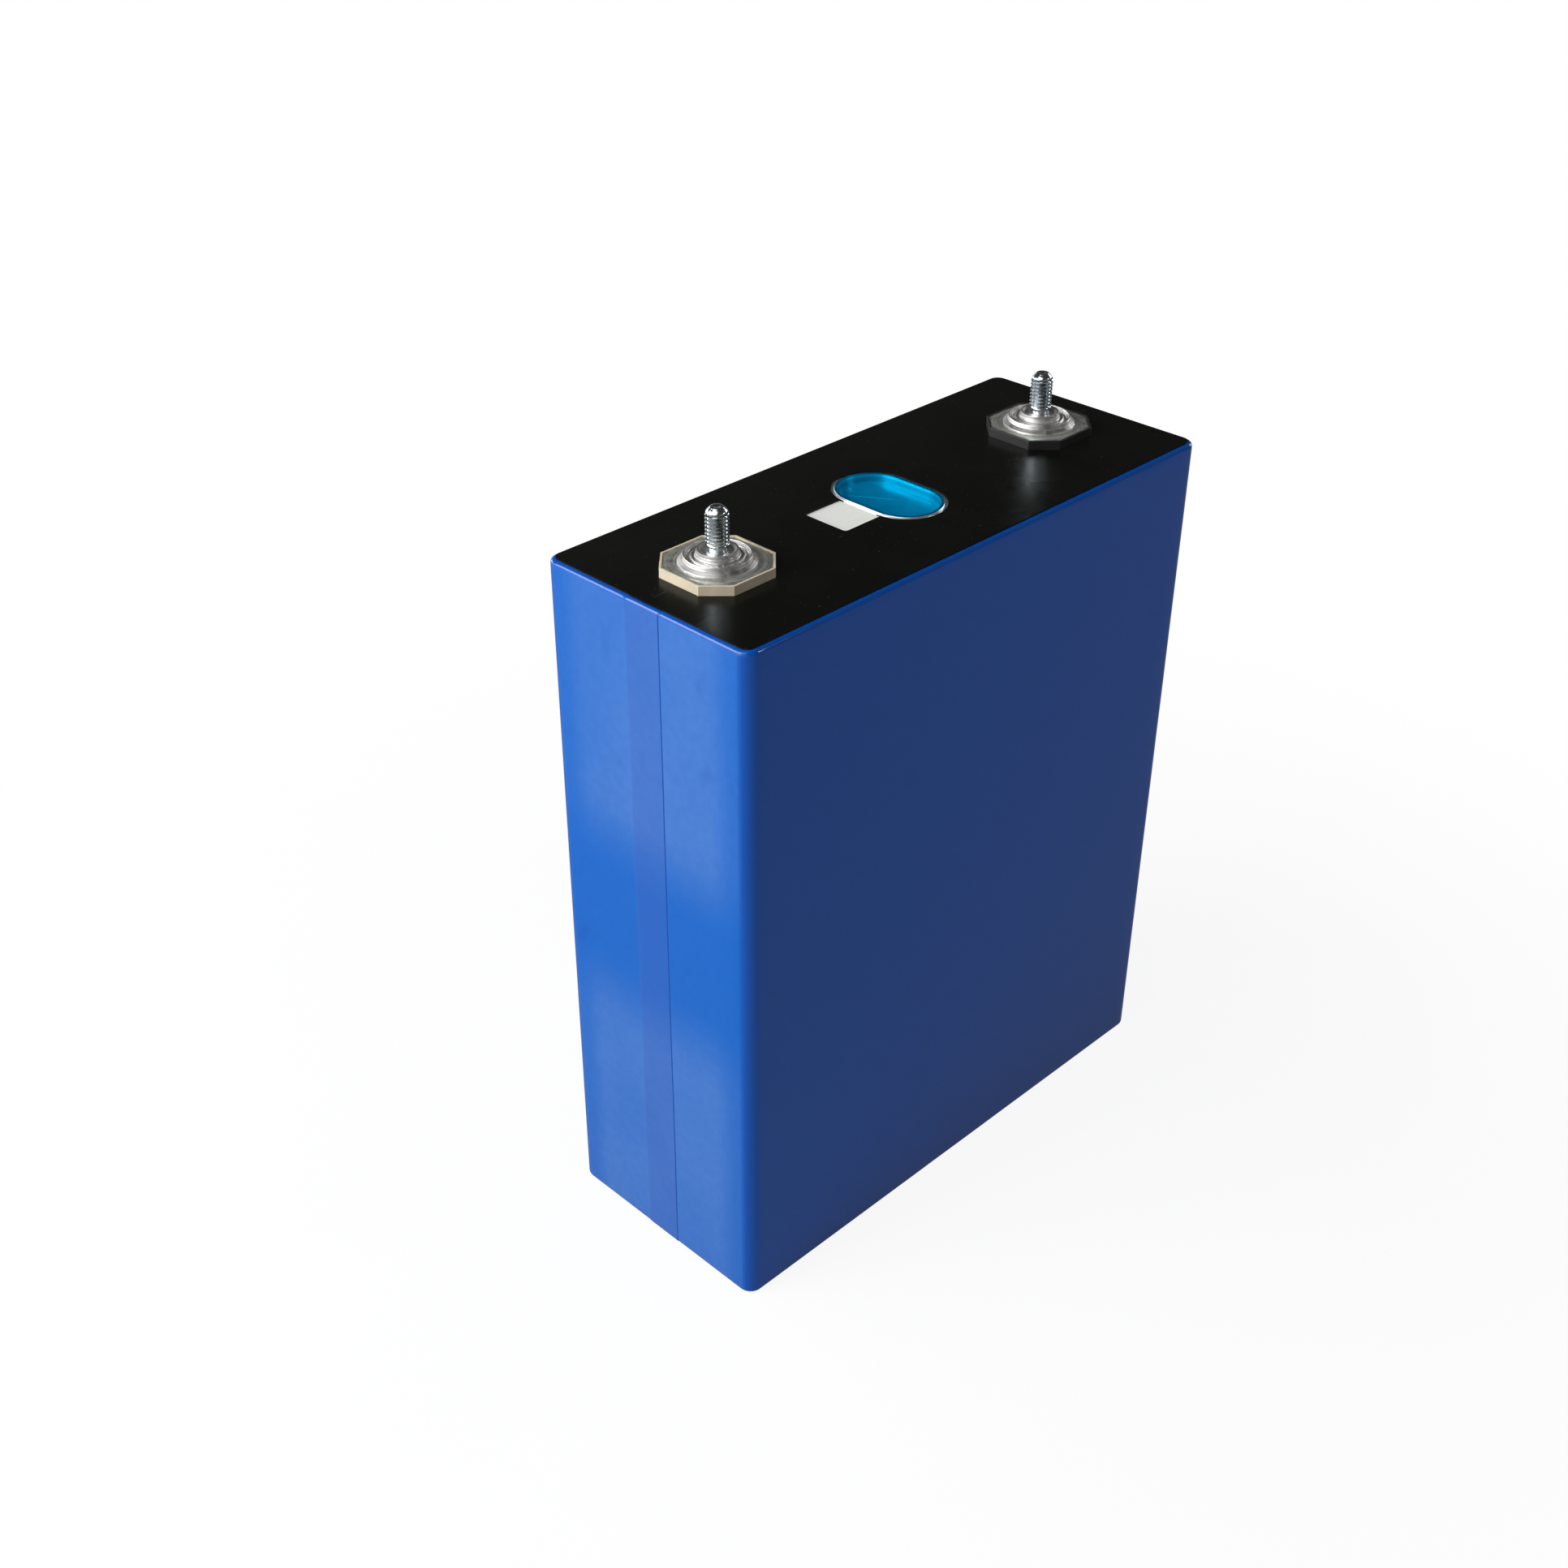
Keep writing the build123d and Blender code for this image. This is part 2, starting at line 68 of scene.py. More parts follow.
# --- places read from the frame ---------------------------------------------
film_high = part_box("wrap_film")[1]
sheet_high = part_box("top_sheet")[1]
case_low, case_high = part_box("case")
vent_film_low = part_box("vent_film")[0]
membrane_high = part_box("vent_membrane")[1]
plate_low, plate_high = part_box("positive_terminal_plate")
base_low, base_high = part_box("positive_stud_base")
stud_low, stud_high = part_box("positive_stud")
terminal_x = (plate_low[0] + plate_high[0]) / 2
half_width = film_high[0]
half_thickness = film_high[1]
film_thickness = half_width - case_high[0]
film_bottom = case_low[2] - film_thickness
film_top = sheet_high[2] - SHEET_THICKNESS
SIDES = {"negative": -1, "positive": 1}

# --- wrapping film ----------------------------------------------------------
CORNER_RADIUS = 4.0 * MM
RIM_RADIUS = 1.12 * MM
TOP_FOLD = 4.0 * MM
BOTTOM_FOLD = 10.0 * MM
LAP_HALF = 5.9 * MM
LAP_REACH = 1.2 * MM  # how far the overlap runs in over the rim
LAP_EDGE = 0.12 * MM  # width of the overlap's free edge
LAP_SOFT_EDGE = 1.4 * MM  # width over which the buried edge swells
LAP_GROOVE = 0.05 * MM
LAP_WAVE = 0.14 * MM
CREASE_DEPTH = 0.05 * MM
CREASE_BELOW_TOP = 0.85 * MM
RIPPLE_DEPTH = 0.035 * MM

# --- stud, as an M6 thread --------------------------------------------------
STUD_RADIUS = 3.0 * MM
THREAD_PITCH = 1.0 * MM
THREAD_DEPTH = 0.62 * MM
ROOT_FLAT, FLANK_SHARE = 0.16, 0.68  # shares of half a pitch
THREAD_START = 1.0 * MM  # above the hub
THREAD_RUNOUT = 0.55 * MM
NECK_RADIUS = 2.55 * MM
FOOT_RADIUS = 3.5 * MM
FOOT_HEIGHT = 0.8 * MM
TIP_LENGTH = 2.0 * MM
TIP_RADIUS = 1.8 * MM
TIP_ROUNDING = 1.9  # higher for a fuller dome
TIP_EDGE = 0.18 * MM  # height of the rounded edge round the flat tip
DIMPLE_RADIUS = 0.8 * MM
DIMPLE_DEPTH = 0.4 * MM


# --- mesh helpers -----------------------------------------------------------
def make_piece(name, points, faces, material, slot, *nodes, smooth_angle=35.0):
    """One mesh object that rides on the cell and stands for CAD nodes."""
    mesh = bpy.data.meshes.new(name)
    mesh.from_pydata(points, [], faces)
    shape = bmesh.new()
    shape.from_mesh(mesh)
    bmesh.ops.remove_doubles(shape, verts=shape.verts, dist=1e-7)
    bmesh.ops.dissolve_degenerate(shape, edges=shape.edges, dist=1e-7)
    bmesh.ops.recalc_face_normals(shape, faces=shape.faces)
    for face in shape.faces:
        face.smooth = True
    for edge in shape.edges:
        edge.smooth = not edge.is_manifold or edge.calc_face_angle(0) < math.radians(smooth_angle)
    shape.to_mesh(mesh)
    shape.free()
    piece = bpy.data.objects.new(name, mesh)
    bpy.context.scene.collection.objects.link(piece)
    mesh.materials.append(material)
    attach(piece, "root")
    if nodes:
        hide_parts(*nodes)
    return piece


def closed_grid(loops):
    """Points and faces of a ring-shaped solid from its closed sections, joined round."""
    count = len(loops[0])
    points = [point for loop in loops for point in loop]
    faces = []
    for i in range(len(loops)):
        j = (i + 1) % len(loops)
        for k in range(count):
            m = (k + 1) % count
            faces.append((i * count + k, j * count + k, j * count + m, i * count + m))
    return points, faces


def arc(centre, radius, start, end, steps):
    """Points on an arc in a plane, angles in degrees."""
    turns = [math.radians(start + (end - start) * i / steps) for i in range(steps + 1)]
    return [(centre[0] + radius * math.cos(a), centre[1] + radius * math.sin(a)) for a in turns]


def divide(start, end, steps):
    """Points between two ends, without the last one."""
    return [
        tuple(a + (b - a) * i / steps for a, b in zip(start, end)) for i in range(steps)
    ]


def round_corners(corners, radii, steps=5):
    """A polyline whose inner corners are rounded, each by its own radius."""
    line = [corners[0]]
    for before, corner, after, radius in zip(corners, corners[1:], corners[2:], radii):
        if not radius:
            line.append(corner)
            continue
        corner = Vector(corner)
        back = (Vector(before) - corner).normalized()
        ahead = (Vector(after) - corner).normalized()
        reach = radius / math.tan(back.angle(ahead) / 2)
        for i in range(steps + 1):
            t = i / steps
            a = corner + back * reach * (1 - t)
            b = corner + ahead * reach * t
            line.append(tuple(a.lerp(b, t)))
    line.append(corners[-1])
    return line


def densify(line, step):
    """The same polyline with no stretch longer than a step."""
    dense = []
    for start, end in zip(line, line[1:]):
        length = (Vector(end) - Vector(start)).length
        dense += divide(start, end, max(1, math.ceil(length / step)))
    return dense + [line[-1]]


def rough(x, y, z, scale):
    """Smooth repeatable noise between about -1 and 1, for a feature size in metres."""
    return noise.noise(Vector((x, y, z)) / scale)


def smoothstep(value, low, high):
    t = min(max((value - low) / (high - low), 0.0), 1.0)
    return t * t * (3 - 2 * t)


# --- material helpers -------------------------------------------------------
def add(tree, kind, inputs=None, **settings):
    """A node with its settings, its inputs set to values or joined to sockets."""
    made = tree.nodes.new(kind)
    for key, value in settings.items():
        setattr(made, key, value)
    for key, value in (inputs or {}).items():
        if isinstance(value, bpy.types.NodeSocket):
            tree.links.new(value, made.inputs[key])
        else:
            made.inputs[key].default_value = value
    return made


def place(tree):
    return add(tree, "ShaderNodeTexCoord").outputs["Object"]


def clouds(tree, size, detail=3.0, stretch=(1, 1, 1), distortion=0.0):
    """Noise whose features are about that size in metres, stretched along an axis."""
    scaled = add(
        tree, "ShaderNodeMapping", {"Vector": place(tree), "Scale": [1 / s for s in stretch]}
    )
    settings = {
        "Vector": scaled.outputs[0], "Scale": 1 / size, "Detail": detail,
        "Distortion": distortion,
    }
    return add(tree, "ShaderNodeTexNoise", settings).outputs["Fac"]


def spread(tree, value, low, high, start=0.3, end=0.7, kind="SMOOTHSTEP"):
    """A value from start to end mapped to low to high."""
    settings = {
        "Value": value, "From Min": start, "From Max": end, "To Min": low, "To Max": high,
    }
    mapped = add(tree, "ShaderNodeMapRange", settings, interpolation_type=kind)
    return mapped.outputs[0]


def calculate(tree, operation, *values):
    settings = {i: value for i, value in enumerate(values)}
    return add(tree, "ShaderNodeMath", settings, operation=operation).outputs[0]


def between(tree, factor, first, second):
    """A colour between two others."""
    mixed = add(tree, "ShaderNodeMix", {0: factor}, data_type="RGBA")
    for socket, colour in ((mixed.inputs[6], first), (mixed.inputs[7], second)):
        if isinstance(colour, bpy.types.NodeSocket):
            tree.links.new(colour, socket)
        else:
            socket.default_value = (*colour, 1)
    return mixed.outputs[2]


def bump(tree, height, depth):
    settings = {"Height": height, "Distance": depth, "Strength": 1.0}
    return add(tree, "ShaderNodeBump", settings).outputs[0]


def finish_of(name, build):
    """A material whose Principled shader takes what build(tree) gives for its sockets."""
    material = bpy.data.materials.new(name)
    material.use_nodes = True
    tree = material.node_tree
    shader = tree.nodes["Principled BSDF"]
    for key, value in build(tree).items():
        if isinstance(value, bpy.types.NodeSocket):
            tree.links.new(value, shader.inputs[key])
        elif isinstance(value, tuple):
            shader.inputs[key].default_value = (*value, 1)
        else:
            shader.inputs[key].default_value = value
    return material


def turned_radius(tree):
    """Distance from the nearer terminal's axis."""
    parts = add(tree, "ShaderNodeSeparateXYZ", {0: place(tree)})
    sideways = calculate(tree, "ABSOLUTE", parts.outputs[0])
    from_axis = calculate(tree, "SUBTRACT", sideways, terminal_x)
    flat = add(tree, "ShaderNodeCombineXYZ", {0: from_axis, 1: parts.outputs[1]})
    length = add(tree, "ShaderNodeVectorMath", {0: flat.outputs[0]}, operation="LENGTH")
    return length.outputs["Value"]


def turning_marks(tree, size, detail=3.0):
    """Concentric marks round the terminals, of uneven width."""
    settings = {"W": turned_radius(tree), "Scale": 1 / size, "Detail": detail}
    marks = add(tree, "ShaderNodeTexNoise", settings, noise_dimensions="1D")
    return marks.outputs["Fac"]


# --- materials --------------------------------------------------------------
REFLECTION_GAP_BAND = (106 * MM, 40 * MM)  # middle and half height of the band where the painted reflection is faint
REFLECTION_FADE = (22 * MM, 31 * MM)  # distance from the middle over which the painted reflection ends
REFLECTION_CLOUD_SIZE, DARK_PATCH_SIZE, MOTTLE_SIZE, WAVE_SIZE = 50 * MM, 17 * MM, 3 * MM, 30 * MM
# The narrow ends take a lighter blue than the long sides: painted light.
LONG_SIDE_BLUE, PAINTED_LIGHT_END_BLUE = (0.003, 0.079, 0.41), (0.0015, 0.100, 0.44)
PAINTED_REFLECTION_BLUE, MOTTLE_BLUE = (0.046, 0.152, 0.47), (0.002, 0.06, 0.33)
DARK_PATCH_BLUE, LAP_BLUE = (0.002, 0.05, 0.30), (0.035, 0.082, 0.35)
LAP_TINT = 0.3


def blue_film(tree):
    """Thin blue film: even on the long sides; on the narrow ones a lighter blue as painted light,
    a painted reflection in clouds, and darker patches.
    """
    parts = add(tree, "ShaderNodeSeparateXYZ", {0: place(tree)})
    facing = add(tree, "ShaderNodeSeparateXYZ", {
        0: add(tree, "ShaderNodeNewGeometry").outputs["True Normal"],
    })
    on_end = spread(tree, calculate(tree, "ABSOLUTE", facing.outputs[0]), 0, 1, 0.93, 1.0)
    # Clouds of paler blue on the narrow ends, faint in a middle band: a painted reflection.
    middle, reach = REFLECTION_GAP_BAND
    height = calculate(tree, "SUBTRACT", parts.outputs[2], middle)
    from_band = calculate(tree, "ABSOLUTE", height)
    band = spread(tree, from_band, 0.05, 1, 0.3 * reach, reach)
    cloud = spread(tree, clouds(tree, REFLECTION_CLOUD_SIZE, 1.5, (1, 1, 0.8)), 0.7, 1, 0.35, 0.65)
    from_middle = calculate(tree, "ABSOLUTE", parts.outputs[1])
    inner = spread(tree, from_middle, 1, 0.35, *REFLECTION_FADE)
    painted_reflection = calculate(tree, "MULTIPLY", calculate(tree, "MULTIPLY", cloud, band), on_end)
    painted_reflection = calculate(tree, "MULTIPLY", painted_reflection, inner)
    # Darker patches of blue, on the narrow ends only.
    dark_patches = spread(tree, clouds(tree, DARK_PATCH_SIZE, 3.0, (1, 1, 1.5)), 0, 0.3, 0.66, 0.8)
    mottle = spread(tree, clouds(tree, MOTTLE_SIZE, 3.0), 0, 0.12)
    # Lighter blue on the narrow ends is painted light; the paler clouds over it are a painted
    # reflection.
    colour = between(tree, painted_reflection, between(tree, on_end, LONG_SIDE_BLUE, PAINTED_LIGHT_END_BLUE), PAINTED_REFLECTION_BLUE)
    colour = between(tree, mottle, colour, MOTTLE_BLUE)
    dark_patches = calculate(tree, "MULTIPLY", dark_patches, on_end)
    colour = between(tree, dark_patches, colour, DARK_PATCH_BLUE)
    near_lap = calculate(tree, "LESS_THAN", from_middle, LAP_HALF)
    lap = calculate(tree, "MULTIPLY", near_lap, on_end)
    lap = calculate(tree, "MULTIPLY", lap, calculate(tree, "LESS_THAN", parts.outputs[0], 0.0))
    colour = between(tree, calculate(tree, "MULTIPLY", lap, LAP_TINT), colour, LAP_BLUE)
    return {
        "Base Color": colour,
        "Roughness": spread(tree, mottle, 0.10, 0.15, 0.0, 0.12),
        "Normal": bump(tree, clouds(tree, WAVE_SIZE, 2.0, (1, 1, 2.2)), 0.05 * MM),
    }


def black_sheet(tree):
    """Dull black plastic sheet with a little dust on it."""
    dust = spread(tree, clouds(tree, 0.9 * MM, 1.0), 0, 1, 0.745, 0.80)
    worn = clouds(tree, 20 * MM, 3.0)
    black, rubbed = (0.0030, 0.0036, 0.0025), (0.0038, 0.0044, 0.0032)
    colour = between(tree, spread(tree, worn, 0, 1), black, rubbed)
    colour = between(tree, calculate(tree, "MULTIPLY", dust, 0.3), colour, (0.08, 0.08, 0.07))
    return {
        "Base Color": colour,
        "Roughness": spread(tree, worn, 0.26, 0.28),
        "Normal": bump(tree, clouds(tree, 0.6 * MM, 2.0), 0.004 * MM),
        "Specular IOR Level": 0.14,
    }


def brushed_metal(colour, shadow, size, stretch, roughness, metal=1.0, depth=0.004):
    """Finish of a rolled or drawn metal, with fine lines along an axis."""

    def build(tree):
        lines = clouds(tree, size, 4.0, stretch)
        stains = clouds(tree, 9 * MM, 3.0)
        mixed = between(tree, spread(tree, lines, 0, 0.6), colour, shadow)
        return {
            "Base Color": between(tree, spread(tree, stains, 0, 0.3), mixed, shadow),
            "Metallic": metal,
            "Roughness": spread(tree, lines, roughness - 0.06, roughness + 0.08),
            "Normal": bump(tree, lines, depth * MM),
        }

    return build


def bare_cover(tree):
    """Rolled aluminium cover, etched matt white in the window and painted darker in the vent's pit
    as painted shade.
    """
    parts = add(tree, "ShaderNodeSeparateXYZ", {0: place(tree)})
    window_edge = vent_film_low[0] - MM
    etched = calculate(tree, "LESS_THAN", parts.outputs[0], window_edge)
    lines = clouds(tree, 0.5 * MM, 4.0, (40, 1, 1))
    metal = between(tree, spread(tree, lines, 0, 0.6), (0.88, 0.89, 0.90), (0.70, 0.71, 0.72))
    # Below this height the pit's walls take a darker metal: painted shade in the recess.
    pit_edge = film_top - film_thickness - 0.3 * MM
    painted_pit_shade = calculate(tree, "LESS_THAN", parts.outputs[2], pit_edge)
    metal = between(tree, painted_pit_shade, metal, (0.50, 0.52, 0.54))
    white = between(tree, spread(tree, lines, 0, 1), (0.97, 0.98, 0.94), (0.92, 0.93, 0.88))
    return {
        "Base Color": between(tree, etched, metal, white),
        "Metallic": spread(tree, etched, 0.9, 0.1, 0.0, 1.0, "LINEAR"),
        "Roughness": spread(tree, etched, 0.3, 0.45, 0.0, 1.0, "LINEAR"),
        "Normal": bump(tree, lines, 0.002 * MM),
    }


def turned_metal(colour, shadow, roughness, depth, patches):
    """Finish of a turned aluminium part, with ring marks and darker patches."""

    def build(tree):
        marks = turning_marks(tree, 0.45 * MM)
        bands = turning_marks(tree, 2.2 * MM, 1.0)
        stains = clouds(tree, 1.6 * MM, 4.0)
        mixed = between(tree, spread(tree, marks, 0, 0.7), colour, shadow)
        mixed = between(tree, spread(tree, bands, 0, 0.45), mixed, shadow)
        mixed = between(tree, spread(tree, stains, 0, patches, 0.42, 0.7), mixed, shadow)
        return {
            "Base Color": mixed,
            "Metallic": 1.0,
            "Roughness": spread(tree, stains, roughness - 0.07, roughness + 0.12),
            "Normal": bump(tree, marks, depth * MM),
        }

    return build


def zinc_steel(tree):
    """Bright zinc plating with a blue tinge."""
    stains = clouds(tree, 1.2 * MM, 3.0)
    bright, dull = (0.90, 0.95, 0.98), (0.74, 0.81, 0.86)
    return {
        "Base Color": between(tree, spread(tree, stains, 0, 1), bright, dull),
        "Metallic": 1.0,
        "Roughness": spread(tree, stains, 0.13, 0.20),
        "Normal": bump(tree, clouds(tree, 0.5 * MM, 3.0), 0.008 * MM),
    }


def moulded(colour, shadow, roughness, scatter=0.0):
    """Finish of a moulded plastic part, faintly grained."""

    def build(tree):
        shade = clouds(tree, 6 * MM, 3.0)
        grain = clouds(tree, 0.5 * MM, 2.0)
        return {
            "Base Color": between(tree, spread(tree, shade, 0, 1), colour, shadow),
            "Roughness": spread(tree, grain, roughness - 0.06, roughness + 0.08),
            "Normal": bump(tree, grain, 0.006 * MM),
            "Subsurface Weight": scatter,
            "Subsurface Scale": 0.5 * MM,
        }

    return build


def see_through_film(name):
    """Clear blue film: it tints what is behind it and keeps a soft gloss."""
    material = bpy.data.materials.new(name)
    material.use_nodes = True
    tree = material.node_tree
    shader = tree.nodes["Principled BSDF"]
    haze = clouds(tree, 5 * MM, 3.0)
    colour = between(tree, spread(tree, haze, 0, 1), (0.0, 0.10, 0.34), (0.0, 0.15, 0.42))
    tree.links.new(colour, shader.inputs["Base Color"])
    shader.inputs["Roughness"].default_value = 0.12
    wrinkles = bump(tree, clouds(tree, 12 * MM, 1.0, (1, 2, 1)), 0.01 * MM)
    tree.links.new(wrinkles, shader.inputs["Normal"])
    tint = between(tree, spread(tree, haze, 0, 1), (0.14, 0.83, 0.965), (0.18, 0.86, 0.98))
    clear = add(tree, "ShaderNodeBsdfTransparent", {"Color": tint})
    mixed = add(
        tree, "ShaderNodeMixShader", {0: 0.12, 1: clear.outputs[0], 2: shader.outputs[0]}
    )
    tree.links.new(mixed.outputs[0], tree.nodes["Material Output"].inputs["Surface"])
    return material


def layered(tree):
    """Edges of wound foil and separator: fine dark and light layers across Y."""
    layers = clouds(tree, 0.4 * MM, 2.0, (200, 1, 200))
    shade = clouds(tree, 30 * MM, 3.0)
    colour = between(tree, spread(tree, layers, 0, 1), (0.035, 0.035, 0.04), (0.22, 0.13, 0.08))
    return {
        "Base Color": between(tree, spread(tree, shade, 0, 0.3), colour, (0.05, 0.05, 0.055)),
        "Roughness": spread(tree, shade, 0.55, 0.7),
        "Normal": bump(tree, layers, 0.02 * MM),
        "Metallic": 0.2,
    }


def thin_film(colour, shadow, roughness, alpha=1.0):
    """Finish of a thin inner film or tape, faintly creased."""

    def build(tree):
        creases = clouds(tree, 12 * MM, 4.0, (1, 1, 3), 0.6)
        return {
            "Base Color": between(tree, spread(tree, creases, 0, 1), colour, shadow),
            "Roughness": spread(tree, creases, roughness - 0.06, roughness + 0.06),
            "Normal": bump(tree, creases, 0.05 * MM),
            "Alpha": alpha,
        }

    return build


MATERIALS = {
    "blue_film": finish_of("blue_film", blue_film),
    "black_sheet": finish_of("black_sheet", black_sheet),
    "case_aluminium": finish_of(
        "case_aluminium",
        brushed_metal((0.78, 0.79, 0.80), (0.60, 0.61, 0.62), 0.8 * MM, (1, 1, 60), 0.35),
    ),
    "cover_aluminium": finish_of("cover_aluminium", bare_cover),
    "vent_foil": finish_of(
        "vent_foil",
        brushed_metal(
            (0.84, 0.85, 0.86), (0.70, 0.72, 0.74), 0.6 * MM, (1, 30, 1), 0.36, 0.45, 0.002
        ),
    ),
    "terminal_aluminium": finish_of(
        "terminal_aluminium",
        turned_metal((0.96, 0.97, 0.91), (0.50, 0.51, 0.46), 0.48, 0.016, 0.7),
    ),
    "base_aluminium": finish_of(
        "base_aluminium",
        turned_metal((0.86, 0.85, 0.84), (0.46, 0.45, 0.44), 0.38, 0.022, 0.45),
    ),
    "inner_aluminium": finish_of(
        "inner_aluminium",
        brushed_metal((0.82, 0.82, 0.83), (0.66, 0.67, 0.68), 0.6 * MM, (30, 1, 1), 0.38),
    ),
    "copper": finish_of(
        "copper",
        brushed_metal((0.80, 0.42, 0.27), (0.55, 0.26, 0.16), 0.6 * MM, (30, 1, 1), 0.34),
    ),
    "zinc_steel": finish_of("zinc_steel", zinc_steel),
    "vent_film": see_through_film("vent_film"),
    "negative_insulator": finish_of(
        "negative_insulator", moulded((0.68, 0.60, 0.45), (0.58, 0.51, 0.37), 0.45, 0.1)
    ),
    "positive_insulator": finish_of(
        "positive_insulator", moulded((0.010, 0.010, 0.011), (0.016, 0.016, 0.018), 0.42)
    ),
    "rubber": finish_of("rubber", moulded((0.02, 0.02, 0.02), (0.035, 0.035, 0.035), 0.6)),
    "lower_plastic": finish_of(
        "lower_plastic", moulded((0.74, 0.74, 0.69), (0.66, 0.66, 0.60), 0.5, 0.05)
    ),
    "winding": finish_of("winding", layered),
    "separator": finish_of("separator", thin_film((0.84, 0.84, 0.83), (0.74, 0.75, 0.74), 0.5)),
    "bag_film": finish_of(
        "bag_film", thin_film((0.62, 0.74, 0.72), (0.52, 0.66, 0.64), 0.25, 0.35)
    ),
    "tape": finish_of("tape", thin_film((0.03, 0.26, 0.20), (0.02, 0.19, 0.15), 0.3)),
}


def finish_cad_nodes():
    """Every CAD node takes the procedural finish of its slot in the record."""
    for row in frame["record"]["subparts"]:
        node = frame["nodes"][row["node"]]
        node.data.materials.clear()
        node.data.materials.append(MATERIALS[row["material_slot"]])


def soften_edges(name, width):
    """Small rounded edges on a CAD node that keeps its own mesh."""
    node = frame["nodes"][name]
    weld = node.modifiers.new("weld", "WELD")
    weld.merge_threshold = 1e-6
    flat = node.modifiers.new("flat", "DECIMATE")
    flat.decimate_type = "DISSOLVE"
    flat.angle_limit = math.radians(0.5)
    bevel = node.modifiers.new("bevel", "BEVEL")
    bevel.width = width
    bevel.segments = 2
    bevel.limit_method = "ANGLE"
    bevel.angle_limit = math.radians(40)
    bevel.harden_normals = True


# --- wrapping film ----------------------------------------------------------
# Columns down the film's narrow side, closer together at the overlap's edges.
END_STATIONS = [
    *(half_thickness - CORNER_RADIUS - i * 2.1 * MM for i in range(12)),
    *(LAP_HALF + LAP_SOFT_EDGE * (1 - i / 4) - LAP_SOFT_EDGE / 2 for i in range(5)),
    *(3.6 * MM - i * 1.6 * MM for i in range(6)),
    *(-LAP_HALF + step * MM for step in (0.6, 0.2, 0.06, -0.06, -0.16, -0.28, -0.45, -0.9)),
    *(-9.0 * MM - i * 2.2 * MM for i in range(10)),
]
LONG_STEPS = 44
END_STEPS = 18
CORNER_STEPS = 8
UPRIGHT_STEPS = 66
STRAIGHT_END = 7.6 * MM  # columns this near the middle don't spread with the plan


def plan_columns(inset):
    """Plan of the film moved in by an inset: (x, y, outward x, outward y) for each column."""
    radius = max(CORNER_RADIUS - inset, 0.05 * MM)
    reach_x = half_width - inset - radius
    reach_y = half_thickness - inset - radius
    full_reach = half_thickness - CORNER_RADIUS

    def corner(sx, sy, start):
        turns = [math.radians(start + 90 * i / CORNER_STEPS) for i in range(CORNER_STEPS)]
        return [
            (sx * reach_x + radius * math.cos(a), sy * reach_y + radius * math.sin(a),
             math.cos(a), math.sin(a))
            for a in turns
        ]

    def end_place(y):
        if abs(y) <= STRAIGHT_END:
            return y
        share = (abs(y) - STRAIGHT_END) / (full_reach - STRAIGHT_END)
        return math.copysign(STRAIGHT_END + share * (reach_y - STRAIGHT_END), y)

    columns = corner(1, 1, 0)
    along = [x for (x,) in divide((reach_x,), (-reach_x,), LONG_STEPS)]
    columns += [(x, reach_y + radius, 0, 1) for x in along]
    columns += corner(-1, 1, 90)
    columns += [(-reach_x - radius, end_place(y), -1, 0) for y in END_STATIONS]
    columns += corner(-1, -1, 180)
    along = [x for (x,) in divide((-reach_x,), (reach_x,), LONG_STEPS)]
    columns += [(x, -reach_y - radius, 0, -1) for x in along]
    columns += corner(1, -1, 270)
    across = [y for (y,) in divide((-reach_y,), (reach_y,), END_STEPS)]
    columns += [(reach_x + radius, y, 1, 0) for y in across]
    return columns


def film_section(cover):
    """Section of the film, as (inset, z, outward, upward), moved in by a cover thickness."""
    radius = RIM_RADIUS - cover
    low, high = film_bottom + RIM_RADIUS, film_top - RIM_RADIUS
    section = [(BOTTOM_FOLD, film_bottom + cover, 0, -1), (5 * MM, film_bottom + cover, 0, -1)]
    for inset, z in arc((RIM_RADIUS, low), radius, 270, 180, 8):
        section.append((inset, z, (RIM_RADIUS - inset) / radius, (z - low) / radius))
    for i in range(1, UPRIGHT_STEPS):
        section.append((cover, low + (high - low) * i / UPRIGHT_STEPS, 1, 0))
    for inset, z in arc((RIM_RADIUS, high), radius, 180, 90, 16):
        section.append((inset, z, (RIM_RADIUS - inset) / radius, (z - high) / radius))
    section += [(2.4 * MM, film_top - cover, 0, 1), (TOP_FOLD, film_top - cover, 0, 1)]
    return section


def bell(value, width):
    return math.exp(-((value / width) ** 2))


def lap_rise(y, inset):
    """How far the overlap stands out of the film, with a groove at its free edge."""
    raised = smoothstep(y, -LAP_HALF - LAP_EDGE / 2, -LAP_HALF + LAP_EDGE / 2)
    raised *= 1 - smoothstep(y, LAP_HALF - LAP_SOFT_EDGE / 2, LAP_HALF + LAP_SOFT_EDGE / 2)
    groove = LAP_GROOVE * bell(y + LAP_HALF + 0.2 * MM, 0.12 * MM)
    fade = 1 - smoothstep(inset, LAP_REACH - 0.3 * MM, LAP_REACH)
    return (film_thickness * raised - groove) * fade


def film_point(column, inset, z, outward, upward, is_outer):
    """A point of the film, with the overlap, slow ripples and a crease under the rim."""
    x, y, side_x, side_y = column
    lift = 0.0
    if is_outer and inset <= BOTTOM_FOLD / 2:
        if side_x == -1:
            lift += lap_rise(y, inset)
            y += LAP_WAVE * noise.noise(Vector((0.3, 0.7, z / (26 * MM)))) * bell(
                y + LAP_HALF, 1.2 * MM
            )
        near_top = smoothstep(z, film_top - 4 * MM, film_top - MM)
        lift -= RIPPLE_DEPTH * (0.5 + 0.5 * rough(x, y, z, 17 * MM))
        lift -= 0.02 * MM * near_top * (1 + rough(x, y, z, 3.4 * MM))
        crease = film_top - CREASE_BELOW_TOP + 0.1 * MM * rough(x, y, z, 12 * MM)
        lift -= CREASE_DEPTH * bell(z - crease, 0.12 * MM) * bell(inset, 0.9 * MM)
    return (x + side_x * outward * lift, y + side_y * outward * lift, z + upward * lift)


